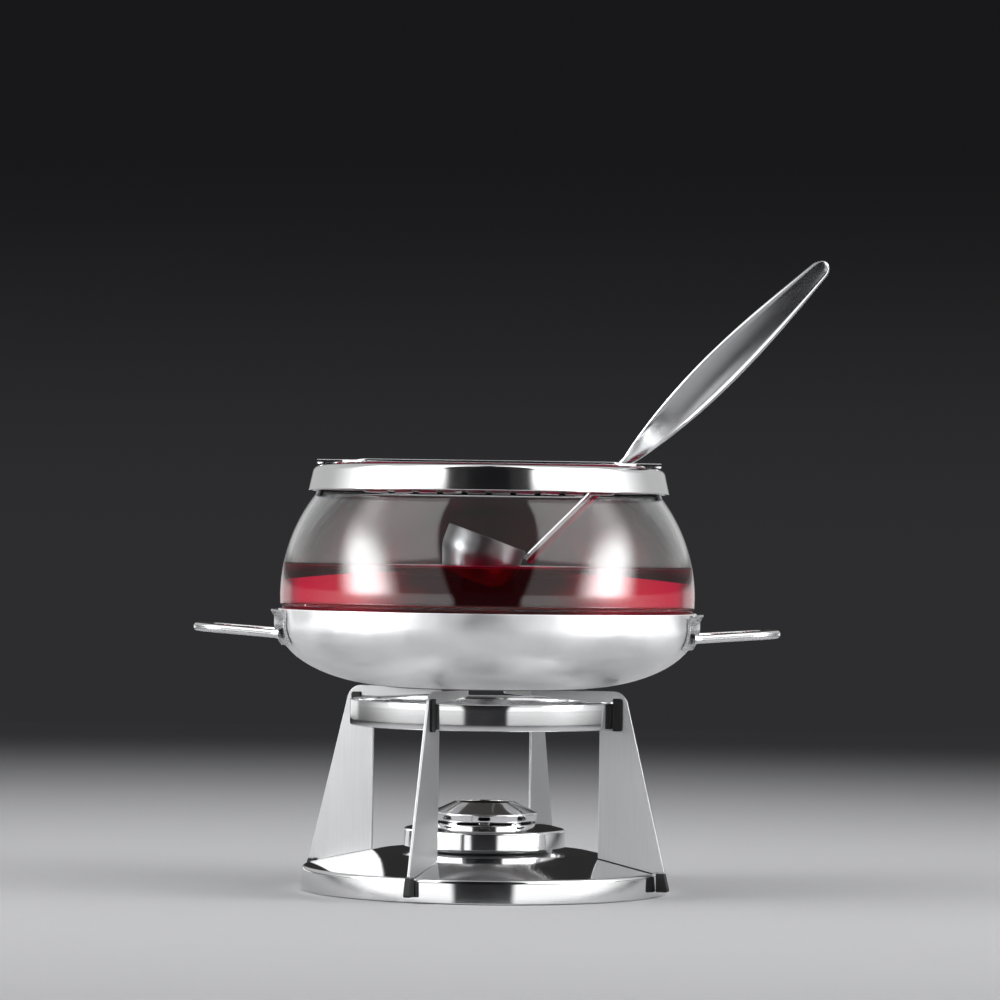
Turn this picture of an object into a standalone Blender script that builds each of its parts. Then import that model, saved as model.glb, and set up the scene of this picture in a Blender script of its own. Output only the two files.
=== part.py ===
"""Flambe punch set: a four-legged burner stand with its spirit burner, and the punch pot, sugar
tongs and ladle that it carries.

Units are metres and +Z is up.  The origin is the centre of the base's underside, -Y is the front
and +X is the ladle's side.  Each physical piece is one object, parented to the empty of the rigid
body that it moves with.
"""

import math

import bmesh
import bpy
from mathutils import Matrix, Vector

# Shared rules
ROUND_STEPS = 36            # facets round every turned piece, so that nested pieces stay parallel
GAP = 0.0003                # clearance between pieces that touch or nest

# Stand
BASE_R = 0.105
BASE_LIP_R = 0.1042         # the tray's edge leans in a little up to where it turns in
BASE_LIP_Z = 0.0132
DECK_R = 0.061              # where the tray's slope meets its flat deck
DECK_Z = 0.0225
TRAY_SHEET = 0.0012
BASE_PLATE_R = 0.1034
BASE_PLATE_SHEET = 0.0015
LEG_SHEET = 0.0015
LEG_ANGLES = {"front": 248, "right": 338, "back": 68, "left": 158}
LEG_FOOT = (0.1128, 0.0034)             # where the fin's outer edge line ends, in radius and height
LEG_TOP = (0.0850, 0.1157)
LEG_INNER_R = 0.070
TONGUE_R = (0.1066, 0.1090)             # tongue of the fin that enters its foot clip
TONGUE_BOTTOM_Z = 0.0062
NOTCH_R = 0.0833                        # outer side of the fin's notch round the support ring
NOTCH_TOP_Z = 0.1112
ARM_TIP_R = 0.028           # inner end of the arm that carries the pot
RING_R = 0.078
RING_SHEET = 0.0015
RING_BOTTOM_Z = 0.094
RING_TOP_Z = 0.109
CLIP_WIDTH = 0.0039                     # of the dark clips, across the fin
CLIP_CORE = 0.0021                      # width of their middle, which the fin's edges enter
CLIP_LIP = 0.0008                       # how far the ring clips lie over the fin's faces
FOOT_CLIP_TOP_Z = 0.0138

# Spirit burner
CUP_R = 0.038
CUP_BOTTOM_Z = DECK_Z + GAP
CUP_RIM_Z = 0.0337
CUP_RIM_R = 0.0445
BURNER_SHEET = 0.0008
COVER_SKIRT_R = 0.0466
COVER_R = 0.046             # at the shoulder, above the slightly flared skirt
COVER_BOTTOM_Z = 0.0255
COVER_SHOULDER_Z = 0.0353
NECK_R = 0.0286
NECK_BOTTOM_Z = 0.0397
NECK_TOP_Z = 0.0443
REGULATOR_R = 0.0302
REGULATOR_BOTTOM_Z = 0.0404
REGULATOR_SHOULDER_Z = 0.0448
FLAME_MOUTH_R = 0.017
FLAME_MOUTH_Z = 0.0509
WINDOW_COUNT = 8
WINDOW_SIZE = (0.010, 0.007, 0.0022)    # radial depth of the cut, width and height
WINDOW_Z = 0.0424
LEVER_ANGLE = 113
LEVER_WIDTH = 0.008
LEVER_TIP_R = 0.052
LEVER_Z = 0.0417

# Pot
BOWL_SHEET = 0.001
BOWL_R = 0.120
BOWL_RIM_Z = 0.160
BOWL_WIDEST_Z = 0.1515
BOWL_CENTRE_R = 0.050       # centre of the elliptical wall section
BOWL_DEPTH = 0.0352
BASE_DISC_R = 0.058
BASE_DISC_Z = (0.116, 0.1183)
GLASS_ARC_R = 0.096
GLASS_SHEET = 0.003
GLASS_CENTRE = (0.023, 0.168)           # centre of the wall's arc, in radius and height
GLASS_Z = (0.152, 0.2305)
GLASS_FOOT_R = 0.1175                   # straight foot that stands in the seal
GLASS_FOOT_TOP_Z = 0.1606
GLASS_SHOULDER_Z = 0.163                # where the belly starts, above the bowl's rim
SEAL_LEDGE_R = 0.1125       # inner edge of the ledge that the glass stands on
SEAL_LEDGE_BOTTOM_Z = 0.1485
SEAL_TOP_Z = 0.1596
CAP_SEAL_R = (0.091, 0.0964)            # seal between the glass and the rim ring
RIM_SHEET = 0.001
RIM_SKIRT_R = 0.1036
RIM_SKIRT_Z = 0.228
RIM_TOP_R = 0.1003
RIM_TOP_Z = 0.2424
MOUTH_R = 0.0895
MOUTH_LIP_Z = 0.2345
BRACKET_HALF_ANGLE = 20
BRACKET_SHEET = 0.0018
BRACKET_BOTTOM_Z = 0.140
BRACKET_TOP_Z = 0.1595
BRACKET_FLARE_R = 0.124
HANDLE_REACH = 0.1627
HANDLE_HALF_SPAN = (0.036, 0.024)       # at the bowl and at the outermost bar
HANDLE_FILLET = 0.021
HANDLE_ROOT_X = 0.108
HANDLE_Z = (0.146, 0.149)               # at the bowl and at the outermost bar
HANDLE_SECTION = (0.010, 0.0046)        # width and height of the bar
HANDLE_EDGE = 0.0018

# Sugar tongs
TONGS_SHEET = 0.001
TROUGH_HALF_LENGTH = 0.070
TROUGH_HALF_WIDTH = 0.029
TROUGH_EDGE_Z = 0.2460
TROUGH_DEPTH = 0.018
TAB_START_X = 0.084
TAB_END_X = 0.098
TAB_HALF_WIDTH = 0.020
TAB_Z = 0.2438
SLOT_COUNT = 9
SLOT_PITCH = 0.014
SLOT_SIZE = (0.0035, 0.026, 0.030)

# Ladle
LADLE_SHEET = 0.0008
LADLE_CUP_R = 0.024
LADLE_CUP_DEPTH = 0.030
LADLE_CUP_CENTRE = (-0.0007, 0.055, 0.2027)  # centre of the cup's rim
LADLE_TILT = 20
LADLE_FOOT = (0.0229, 0.054, 0.1893)
LADLE_TIP = (0.193, 0.006, 0.363)
LADLE_STEM_LENGTH = 0.084
LADLE_STEM_HALF = (0.0032, 0.0020)          # half width and half thickness
LADLE_TIP_HALF = 0.0048      # half width of the blade's round end
LADLE_BLADE_SWELL = 0.0068
LADLE_BLADE_HOLLOW = 0.0022
LADLE_TIP_ROUND = 0.006
LADLE_BOW = 0.004           # of the blade along its length, towards the front


# ---------------------------------------------------------------- drawing helpers

def rounded(corners, closed=False, steps=2):
    """Path through (x, z, fillet radius) corners with an arc at each one that has a radius."""
    points = []
    count = len(corners)
    for index, (x, z, radius) in enumerate(corners):
        corner = Vector((x, z))
        at_open_end = not closed and index in (0, count - 1)
        if radius == 0 or at_open_end:
            points.append(corner)
            continue
        back = (Vector(corners[index - 1][:2]) - corner).normalized()
        ahead = (Vector(corners[(index + 1) % count][:2]) - corner).normalized()
        half = back.angle(ahead) / 2
        centre = corner + (back + ahead).normalized() * radius / math.sin(half)
        start = corner + back * radius / math.tan(half) - centre
        turn = math.copysign(math.pi - 2 * half, -back.cross(ahead))
        pieces = max(1, round(abs(turn) / (math.pi / 2) * steps))
        points += [centre + Matrix.Rotation(turn * step / pieces, 2) @ start
                   for step in range(pieces + 1)]
    return points


def spread(start, end, steps):
    """Evenly spaced values from start to end, both included."""
    return [start + (end - start) * step / steps for step in range(steps + 1)]


def material(name, colour, roughness, metallic=0.0, transmission=0.0):
    """Principled material, made once for each name."""
    found = bpy.data.materials.get(name)
    if found:
        return found
    made = bpy.data.materials.new(name)
    made.use_nodes = True
    shader = made.node_tree.nodes["Principled BSDF"]
    shader.inputs["Base Color"].default_value = (*colour, 1.0)
    shader.inputs["Roughness"].default_value = roughness
    shader.inputs["Metallic"].default_value = metallic
    shader.inputs["Transmission Weight"].default_value = transmission
    made.diffuse_color = (*colour, 1.0)
    return made


def polished_steel():
    return material("polished_steel", (0.86, 0.86, 0.87), 0.06, metallic=1.0)


def brushed_steel():
    return material("brushed_steel", (0.72, 0.72, 0.73), 0.30, metallic=1.0)


def clear_glass():
    return material("clear_glass", (0.96, 0.98, 0.98), 0.02, transmission=1.0)


def seal_silicone():
    return material("seal_silicone", (0.16, 0.16, 0.17), 0.55)


def fuel_wool():
    return material("fuel_wool", (0.78, 0.76, 0.70), 0.95)


def skin(name, sections, finish, body=None, loop=True, ring=False):
    """Surface through matching sections: LOOP closes each section, RING closes the row of them.

    Its outside is on the right of each section's direction of travel, seen with the next section
    behind the page.
    """
    shape = bmesh.new()
    rows = [[shape.verts.new(point) for point in section] for section in sections]
    for near, far in zip(rows, rows[1:] + rows[:1] if ring else rows[1:]):
        last = len(near) if loop else len(near) - 1
        for here in range(last):
            after = (here + 1) % len(near)
            shape.faces.new((near[here], far[here], far[after], near[after]))
    if loop and not ring:
        shape.faces.new(rows[0])
        shape.faces.new(reversed(rows[-1]))
    bmesh.ops.remove_doubles(shape, verts=shape.verts, dist=1e-6)
    if loop:
        bmesh.ops.recalc_face_normals(shape, faces=shape.faces)
    mesh = bpy.data.meshes.new(name)
    shape.to_mesh(mesh)
    shape.free()
    mesh.shade_smooth()
    mesh.set_sharp_from_angle(angle=math.radians(35))
    piece = bpy.data.objects.new(name, mesh)
    bpy.context.scene.collection.objects.link(piece)
    if finish:
        mesh.materials.append(finish)
    if body:
        piece.parent = body
        piece.location = -body.location
    return piece


def turned(name, profile, finish, body=None, loop=True, steps=ROUND_STEPS, sector=None):
    """Revolve a (radius, z) profile about Z, all the way or over SECTOR = (from, to) degrees."""
    first, last = sector or (0, 360)
    facets = steps if sector is None else round(steps * (last - first) / 360)
    angles = [math.radians(angle) for angle in spread(first, last, facets)]
    if sector is None:
        angles.pop()
    sections = [[(radius * math.cos(angle), radius * math.sin(angle), z) for radius, z in profile]
                for angle in angles]
    return skin(name, sections, finish, body, loop=loop, ring=sector is None)


def thicken(piece, sheet):
    """Give an open sheet its thickness on the side away from its normals."""
    solidify = piece.modifiers.new("sheet", "SOLIDIFY")
    solidify.thickness = sheet
    solidify.offset = -1
    solidify.use_even_offset = True


def turned_sheet(name, profile, sheet, finish, body=None, steps=ROUND_STEPS):
    """Spun sheet whose outer skin is an open (radius, z) profile with the outside on its right."""
    piece = turned(name, profile, finish, body, loop=False, steps=steps)
    thicken(piece, sheet)
    return piece


def disc(name, radius, bottom, top, finish, body=None):
    profile = [(0, bottom), (radius, bottom), (radius, top), (0, top)]
    return turned(name, profile, finish, body)


def plate(name, outline, sheet, finish, body=None):
    """Flat sheet in the XZ plane, centred on it, from a closed anticlockwise outline."""
    sections = [[(x, side * sheet / 2, z) for x, z in outline] for side in (-1, 1)]
    return skin(name, sections, finish, body)


def boxes(name, size, places):
    """Cutter made of equal boxes, one at each placing matrix."""
    shape = bmesh.new()
    for place in places:
        bmesh.ops.create_cube(shape, size=1, matrix=place @ Matrix.Diagonal((*size, 1)))
    mesh = bpy.data.meshes.new(name)
    shape.to_mesh(mesh)
    shape.free()
    cutter = bpy.data.objects.new(name, mesh)
    bpy.context.scene.collection.objects.link(cutter)
    return cutter


def cut(piece, cutter):
    """Take the cutter's volume out of the piece."""
    cutter.hide_render = True
    cutter.display_type = "WIRE"
    boolean = piece.modifiers.new("cut", "BOOLEAN")
    boolean.operation = "DIFFERENCE"
    boolean.solver = "EXACT"
    boolean.object = cutter


def body_empty(name, location=(0, 0, 0), parent=None):
    """Empty that stands for one rigid body, on its joint's axis."""
    empty = bpy.data.objects.new(name, None)
    bpy.context.scene.collection.objects.link(empty)
    empty.location = location
    if parent:
        empty.parent = parent
    return empty


def turn_z(piece, degrees):
    piece.rotation_euler.z = math.radians(degrees)
    return piece


# ---------------------------------------------------------------- stand

def tray_profile():
    return rounded([(BASE_R, 0.0004, 0), (BASE_LIP_R, BASE_LIP_Z, 0.0025), (DECK_R, DECK_Z, 0.008),
                    (0, DECK_Z, 0)])


def leg_outline():
    """Fin from its foot clip to the arm under the pot, notched round the ring and the ring's clip."""
    foot, top = Vector(LEG_FOOT), Vector(LEG_TOP)
    shoulder_z = FOOT_CLIP_TOP_Z + GAP
    shoulder_r = foot.lerp(top, (shoulder_z - foot.y) / (top.y - foot.y)).x
    slope = (DECK_Z - BASE_LIP_Z) / (BASE_R - DECK_R)
    inner_foot_z = BASE_LIP_Z + (BASE_R - LEG_INNER_R) * slope + GAP * 0.9
    return rounded([
        (TONGUE_R[0], TONGUE_BOTTOM_Z, 0.0006),
        (TONGUE_R[1], TONGUE_BOTTOM_Z, 0.0006),
        (TONGUE_R[1], shoulder_z, 0),
        (shoulder_r, shoulder_z, 0.0006),
        (*LEG_TOP, 0.009),
        (ARM_TIP_R, LEG_TOP[1], 0.0015),
        (ARM_TIP_R, LEG_TOP[1] - 0.0038, 0.0015),
        (LEG_INNER_R - 0.005, RING_TOP_Z + GAP, 0.004),
        (RING_R, RING_TOP_Z + GAP, 0),
        (RING_R, NOTCH_TOP_Z, 0),
        (NOTCH_R, NOTCH_TOP_Z, 0.0015),
        (NOTCH_R, RING_BOTTOM_Z - GAP, 0.0015),
        (LEG_INNER_R, RING_BOTTOM_Z - GAP, 0.001),
        (LEG_INNER_R, inner_foot_z, 0),
        (BASE_R - 0.0008, BASE_LIP_Z + GAP, 0),
        (BASE_R - 0.0002, shoulder_z, 0),
        (TONGUE_R[0], shoulder_z, 0),
    ], closed=True)


def ring_clip_outline(lip):
    """Block that fills the notch outside the ring, grown by a lip above, below and outside."""
    inner = RING_R + GAP + 0.0001
    outer = NOTCH_R - GAP + lip
    low, high = RING_BOTTOM_Z - lip, NOTCH_TOP_Z - GAP + lip
    return rounded([(inner, low, 0), (outer, low, 0.0015), (outer, high, 0.0015), (inner, high, 0)],
                   closed=True)


def foot_clip_outline(pocket_z):
    """Shoe outside the tray's edge, with a pocket for the fin's tongue down to a height."""
    inner = BASE_R + GAP + 0.0001
    foot, top = Vector(LEG_FOOT), Vector(LEG_TOP)
    outer_top = foot.lerp(top, (FOOT_CLIP_TOP_Z - foot.y) / (top.y - foot.y)).x
    near, far = TONGUE_R[0] - GAP, TONGUE_R[1] + GAP
    return rounded([
        (inner, foot.y, 0.0008), (foot.x, foot.y, 0.0012), (outer_top, FOOT_CLIP_TOP_Z, 0),
        (far, FOOT_CLIP_TOP_Z, 0), (far, pocket_z, 0), (near, pocket_z, 0),
        (near, FOOT_CLIP_TOP_Z, 0), (inner, FOOT_CLIP_TOP_Z, 0)], closed=True)


def clip(name, cheek, core, body):
    """Dark clip of three layers: a core between the fin's edges and a cheek on each of its faces."""
    sections = []
    for y, outline in ((-CLIP_WIDTH, cheek), (-CLIP_CORE, cheek), (-CLIP_CORE, core),
                       (CLIP_CORE, core), (CLIP_CORE, cheek), (CLIP_WIDTH, cheek)):
        sections.append([(x, y / 2, z) for x, z in outline])
    return skin(name, sections, seal_silicone(), body)


def make_stand():
    stand = body_empty("stand")
    turned_sheet("base_tray", tray_profile(), TRAY_SHEET, polished_steel(), stand)
    disc("base_plate", BASE_PLATE_R, 0, BASE_PLATE_SHEET, brushed_steel(), stand)
    for side, angle in LEG_ANGLES.items():
        pieces = [
            plate(f"leg_{side}", leg_outline(), LEG_SHEET, brushed_steel(), stand),
            clip(f"ring_clip_{side}", ring_clip_outline(CLIP_LIP), ring_clip_outline(0), stand),
            clip(f"foot_clip_{side}", foot_clip_outline(FOOT_CLIP_TOP_Z),
                 foot_clip_outline(TONGUE_BOTTOM_Z - GAP), stand)]
        for piece in pieces:
            turn_z(piece, angle)
    ring = [(RING_R - RING_SHEET, RING_BOTTOM_Z), (RING_R, RING_BOTTOM_Z), (RING_R, RING_TOP_Z),
            (RING_R - RING_SHEET, RING_TOP_Z)]
    turned("support_ring", ring, polished_steel(), stand)


# ---------------------------------------------------------------- burner

def window_cutter(name, radius):
    """Ring of window-sized boxes through a turned wall of the given radius."""
    places = [Matrix.Rotation(2 * math.pi * index / WINDOW_COUNT, 4, "Z")
              @ Matrix.Translation((radius, 0, WINDOW_Z)) for index in range(WINDOW_COUNT)]
    return boxes(name, WINDOW_SIZE, places)


def make_burner():
    burner = body_empty("burner", (0, 0, CUP_BOTTOM_Z))
    cup = rounded([(0, CUP_BOTTOM_Z, 0), (CUP_R, CUP_BOTTOM_Z, 0.003), (CUP_R, CUP_RIM_Z, 0),
                   (CUP_RIM_R, CUP_RIM_Z, 0)], steps=1)
    turned_sheet("burner_cup", cup, BURNER_SHEET, brushed_steel(), burner)

    wool_r = CUP_R - BURNER_SHEET - 2 * GAP
    wool_bottom = CUP_BOTTOM_Z + BURNER_SHEET + 1.5 * GAP
    gauze_bottom = CUP_RIM_Z - 0.001
    wool_top = gauze_bottom - GAP
    wool = rounded([(0, wool_bottom, 0), (wool_r, wool_bottom, 0.002), (wool_r, wool_top, 0),
                    (0, wool_top, 0)], closed=True, steps=1)
    turned("burner_wool", wool, fuel_wool(), burner)
    disc("burner_gauze", CUP_R - BURNER_SHEET - 1.5 * GAP, gauze_bottom, gauze_bottom + 0.0005,
         brushed_steel(), burner)

    top = body_empty("burner_top", (0, 0, COVER_BOTTOM_Z - CUP_BOTTOM_Z), burner)
    cover = turned_sheet("burner_cover", rounded([
        (COVER_SKIRT_R, COVER_BOTTOM_Z, 0), (COVER_R, COVER_SHOULDER_Z, 0.0015),
        (NECK_R, NECK_BOTTOM_Z, 0), (NECK_R, NECK_TOP_Z, 0)]), BURNER_SHEET, polished_steel())
    cut(cover, window_cutter("cover_windows", NECK_R))

    regulator = body_empty("regulator", (0, 0, REGULATOR_BOTTOM_Z - COVER_BOTTOM_Z), top)
    collar = turned_sheet("burner_regulator", rounded([
        (REGULATOR_R, REGULATOR_BOTTOM_Z, 0), (REGULATOR_R, REGULATOR_SHOULDER_Z, 0.0008),
        (FLAME_MOUTH_R, FLAME_MOUTH_Z, 0)], steps=1), BURNER_SHEET, polished_steel())
    cut(collar, window_cutter("regulator_windows", REGULATOR_R))

    root_in = REGULATOR_R + GAP
    root_out = root_in + BURNER_SHEET
    root_top = REGULATOR_SHOULDER_Z - 0.0006
    blade_top = LEVER_Z + BURNER_SHEET
    outline = rounded([
        (root_in, LEVER_Z, 0.0009), (LEVER_TIP_R, LEVER_Z, 0), (LEVER_TIP_R, blade_top, 0),
        (root_out, blade_top, 0), (root_out, root_top, 0), (root_in, root_top, 0)], closed=True)
    lever = plate("regulator_lever", outline, LEVER_WIDTH, brushed_steel())
    turn_z(lever, LEVER_ANGLE)
    for piece, owner, height in ((cover, top, COVER_BOTTOM_Z),
                                 (collar, regulator, REGULATOR_BOTTOM_Z),
                                 (lever, regulator, REGULATOR_BOTTOM_Z)):
        piece.parent = owner
        piece.location.z = -height


# ---------------------------------------------------------------- pot

def bowl_wall(offset, low_z, steps):
    """Points up the bowl's elliptical wall from a height to its widest, moved out by an offset."""
    half_width = BOWL_R - BOWL_CENTRE_R
    start = math.acos((BOWL_WIDEST_Z - low_z) / BOWL_DEPTH)
    return [(BOWL_CENTRE_R + (half_width + offset) * math.sin(angle),
             BOWL_WIDEST_Z - (BOWL_DEPTH + offset) * math.cos(angle))
            for angle in spread(start, math.pi / 2, steps)]


def bowl_profile():
    recess_z = BASE_DISC_Z[1] + GAP
    foot_z = bowl_wall(0, BOWL_WIDEST_Z - BOWL_DEPTH * 0.991, 1)[0][1]
    return ([(0, recess_z), (BASE_DISC_R + 0.0004, recess_z)] + bowl_wall(0, foot_z, 7)
            + [(BOWL_R, BOWL_RIM_Z)])


def glass_arc(radius, low, high, steps=5):
    """Points up the glass wall's belly between two heights, on an arc about GLASS_CENTRE."""
    centre_r, centre_z = GLASS_CENTRE
    first = math.asin((low - centre_z) / radius)
    last = math.asin((high - centre_z) / radius)
    return [(centre_r + radius * math.cos(angle), centre_z + radius * math.sin(angle))
            for angle in spread(first, last, steps)]


def glass_skin(depth):
    """Points up one skin of the glass, at a depth behind its outside: straight foot, then belly."""
    foot = [(GLASS_FOOT_R - depth, GLASS_Z[0]), (GLASS_FOOT_R - depth, GLASS_FOOT_TOP_Z)]
    return foot + glass_arc(GLASS_ARC_R - depth, GLASS_SHOULDER_Z, GLASS_Z[1])


def make_pot_shell(pot):
    turned_sheet("pot_bowl", bowl_profile(), BOWL_SHEET, polished_steel(), pot)
    disc("pot_base_disc", BASE_DISC_R, *BASE_DISC_Z, brushed_steel(), pot)

    turned("glass_wall", glass_skin(0) + glass_skin(GLASS_SHEET)[::-1], clear_glass(), pot)

    seal_out = BOWL_R - BOWL_SHEET - 0.00055
    seal_in = GLASS_FOOT_R + GAP
    ledge_top = GLASS_Z[0] - GAP
    turned("lower_gasket", [
        (SEAL_LEDGE_R, SEAL_LEDGE_BOTTOM_Z), (seal_out - 0.0007, SEAL_LEDGE_BOTTOM_Z),
        (seal_out, SEAL_LEDGE_BOTTOM_Z + 0.002), (seal_out, SEAL_TOP_Z), (seal_in, SEAL_TOP_Z),
        (seal_in, ledge_top), (SEAL_LEDGE_R, ledge_top)], seal_silicone(), pot)

    cap_in, cap_out = CAP_SEAL_R
    cap_bottom = GLASS_Z[1] + GAP + 0.0001
    cap_top = RIM_TOP_Z - RIM_SHEET - 2 * GAP
    turned("upper_gasket", rounded([
        (cap_in, cap_bottom, 0), (cap_out, cap_bottom, 0), (cap_out, cap_top, 0.001),
        (cap_in, cap_top, 0.001)], closed=True, steps=1), seal_silicone(), pot)

    turned_sheet("rim_ring", rounded([
        (RIM_SKIRT_R, RIM_SKIRT_Z, 0), (RIM_TOP_R, RIM_TOP_Z, 0.0045), (MOUTH_R, RIM_TOP_Z, 0.002),
        (MOUTH_R, MOUTH_LIP_Z, 0)]), RIM_SHEET, polished_steel(), pot)


def bracket_profile():
    """Closed section of the plate that the handle is welded to, wrapped on the bowl's wall."""
    gap = GAP + 0.00005
    skin_gap = gap + BRACKET_SHEET
    inner = bowl_wall(gap, BRACKET_BOTTOM_Z, 3) + [(BOWL_R + gap, BRACKET_TOP_Z - 0.0015)]
    outer = bowl_wall(skin_gap, BRACKET_BOTTOM_Z, 3) + [(BOWL_R + skin_gap, BRACKET_TOP_Z - 0.004)]
    flare = [(BRACKET_FLARE_R, BRACKET_TOP_Z - 0.001), (BRACKET_FLARE_R, BRACKET_TOP_Z),
             (BRACKET_FLARE_R - 0.0014, BRACKET_TOP_Z)]
    return outer + flare + inner[::-1]


def handle_sections():
    """Rounded-bar sections along a tapered U in plan that rises towards its outer bar."""
    root, outermost = HANDLE_HALF_SPAN
    path = rounded([
        (HANDLE_ROOT_X, -root, 0), (HANDLE_REACH, -outermost, HANDLE_FILLET),
        (HANDLE_REACH, outermost, HANDLE_FILLET), (HANDLE_ROOT_X, root, 0)], steps=4)
    side, top = HANDLE_SECTION[0] / 2, HANDLE_SECTION[1] / 2
    bar = rounded([(-side, -top, HANDLE_EDGE), (side, -top, HANDLE_EDGE), (side, top, HANDLE_EDGE),
                   (-side, top, HANDLE_EDGE)], closed=True, steps=1)
    sections = []
    for index, point in enumerate(path):
        before = path[max(index - 1, 0)]
        after = path[min(index + 1, len(path) - 1)]
        along = (after - before).normalized()
        outward = Vector((along.y, -along.x))
        rise = max(0, point.x - BOWL_R) / (HANDLE_REACH - BOWL_R)
        level = HANDLE_Z[0] + (HANDLE_Z[1] - HANDLE_Z[0]) * rise
        sections.append([(point.x + outward.x * x, point.y + outward.y * x, level + z)
                         for x, z in bar])
    return sections


def make_handles(pot):
    clearance_r = BOWL_R + 2 * GAP + BRACKET_SHEET + 0.0002
    for side, angle in (("right", 0), ("left", 180)):
        sector = (angle - BRACKET_HALF_ANGLE, angle + BRACKET_HALF_ANGLE)
        turned(f"handle_bracket_{side}", bracket_profile(), brushed_steel(), pot, sector=sector)
        handle = turn_z(skin(f"handle_{side}", handle_sections(), polished_steel(), pot), angle)
        cut(handle, disc(f"bowl_clearance_{side}", clearance_r, 0.130, BOWL_RIM_Z, None))


# ---------------------------------------------------------------- sugar tongs

def trough_section(x):
    """Cross-section points of the tongs at a station along X, from -Y to +Y."""
    taper = min(max((abs(x) - TROUGH_HALF_LENGTH) / (TAB_START_X - TROUGH_HALF_LENGTH), 0), 1)
    blend = taper * taper * (3 - 2 * taper)
    half_width = TROUGH_HALF_WIDTH + (TAB_HALF_WIDTH - TROUGH_HALF_WIDTH) * blend
    edge = TROUGH_EDGE_Z + (TAB_Z - TROUGH_EDGE_Z) * blend
    depth = TROUGH_DEPTH * (1 - blend)
    return [(x, half_width * across, edge - depth * (1 - across * across))
            for across in spread(-1, 1, 8)]


def make_tongs():
    tongs = body_empty("tongs", (0, 0, TAB_Z))
    middle = spread(-TROUGH_HALF_LENGTH, TROUGH_HALF_LENGTH, 4)
    ramp = spread(TROUGH_HALF_LENGTH, TAB_START_X, 4)[1:] + [TAB_END_X]
    stations = [-x for x in reversed(ramp)] + middle + ramp
    trough = skin("sugar_tongs", [trough_section(x) for x in stations], polished_steel(), tongs,
                  loop=False)
    thicken(trough, TONGS_SHEET)
    first_x = -SLOT_PITCH * (SLOT_COUNT - 1) / 2
    places = [Matrix.Translation((first_x + SLOT_PITCH * index, 0, TROUGH_EDGE_Z - TROUGH_DEPTH))
              for index in range(SLOT_COUNT)]
    cut(trough, boxes("tongs_slots", SLOT_SIZE, places))


# ---------------------------------------------------------------- ladle

def ladle_cup_profile(offset=0.0):
    """Outer skin of the ladle's cup from its bottom to its rim, moved out by an offset."""
    radius = LADLE_CUP_R + offset
    bottom = -LADLE_CUP_DEPTH - offset
    return rounded([(0, bottom, 0), (0.017 + offset, bottom, 0.010), (radius, -0.012, 0.018),
                    (radius, 0, 0)], steps=3)


def ladle_placing():
    return Matrix.Translation(LADLE_CUP_CENTRE) @ Matrix.Rotation(math.radians(LADLE_TILT), 4, "Y")


def ladle_handle_sections():
    """Oval stem that widens into a long hollow-faced blade and closes to a round tip."""
    foot, tip = Vector(LADLE_FOOT), Vector(LADLE_TIP)
    length = (tip - foot).length
    along = (tip - foot).normalized()
    front = Vector((0, -1, 0))
    front = (front - along * front.dot(along)).normalized()
    across = along.cross(front)
    round_start = length - LADLE_TIP_ROUND
    blade_steps = spread(LADLE_STEM_LENGTH, round_start, 9)
    end_steps = [round_start + LADLE_TIP_ROUND * part for part in (0.5, 0.85, 0.98)]
    sections = []
    for distance in [0, LADLE_STEM_LENGTH / 2] + blade_steps + end_steps:
        grown = max(0, distance - LADLE_STEM_LENGTH) / (length - LADLE_STEM_LENGTH)
        swell = math.sin(math.pi * grown ** 0.85)
        closing = max(0, distance - round_start) / LADLE_TIP_ROUND
        straight = LADLE_STEM_HALF[0] + (LADLE_TIP_HALF - LADLE_STEM_HALF[0]) * grown
        half_width = (straight + LADLE_BLADE_SWELL * swell) * math.sqrt(1 - closing ** 2)
        half_thick = LADLE_STEM_HALF[1] * (1 - 0.45 * swell) * math.sqrt(1 - closing ** 2)
        hollow = LADLE_BLADE_HOLLOW * swell
        centre = foot + along * distance + front * LADLE_BOW * math.sin(math.pi * grown)
        ring = [math.radians(angle) for angle in spread(0, 360, 10)[:-1]]
        sections.append([centre + across * half_width * math.cos(angle)
                         + front * (half_thick * math.sin(angle) + hollow * math.cos(angle) ** 2)
                         for angle in ring])
    return sections


def make_ladle():
    ladle = body_empty("ladle", LADLE_CUP_CENTRE)
    cup = turned_sheet("ladle_cup", ladle_cup_profile(), LADLE_SHEET, polished_steel(), steps=24)
    cup.parent = ladle
    cup.rotation_euler.y = math.radians(LADLE_TILT)
    handle = skin("ladle_handle", ladle_handle_sections(), brushed_steel(), ladle)
    core = turned("ladle_cup_clearance", ladle_cup_profile(GAP) + [Vector((0, 0))], None, steps=24)
    core.matrix_world = ladle_placing()
    cut(handle, core)


def main():
    for old in list(bpy.data.objects):
        bpy.data.objects.remove(old, do_unlink=True)
    make_stand()
    make_burner()
    pot = body_empty("pot", (0, 0, BASE_DISC_Z[0]))
    make_pot_shell(pot)
    make_handles(pot)
    make_tongs()
    make_ladle()


main()
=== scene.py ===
"""Looks of the flambe punch set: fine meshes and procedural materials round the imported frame.

Units are metres, in the frame of the CAD model: +Z up, -Y to the front, the origin under the base.
Every place comes from the frame's boxes; the constants below are the shapes between them.
"""

import math
import random

import bmesh
import bpy
from mathutils import Matrix, Vector


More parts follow.
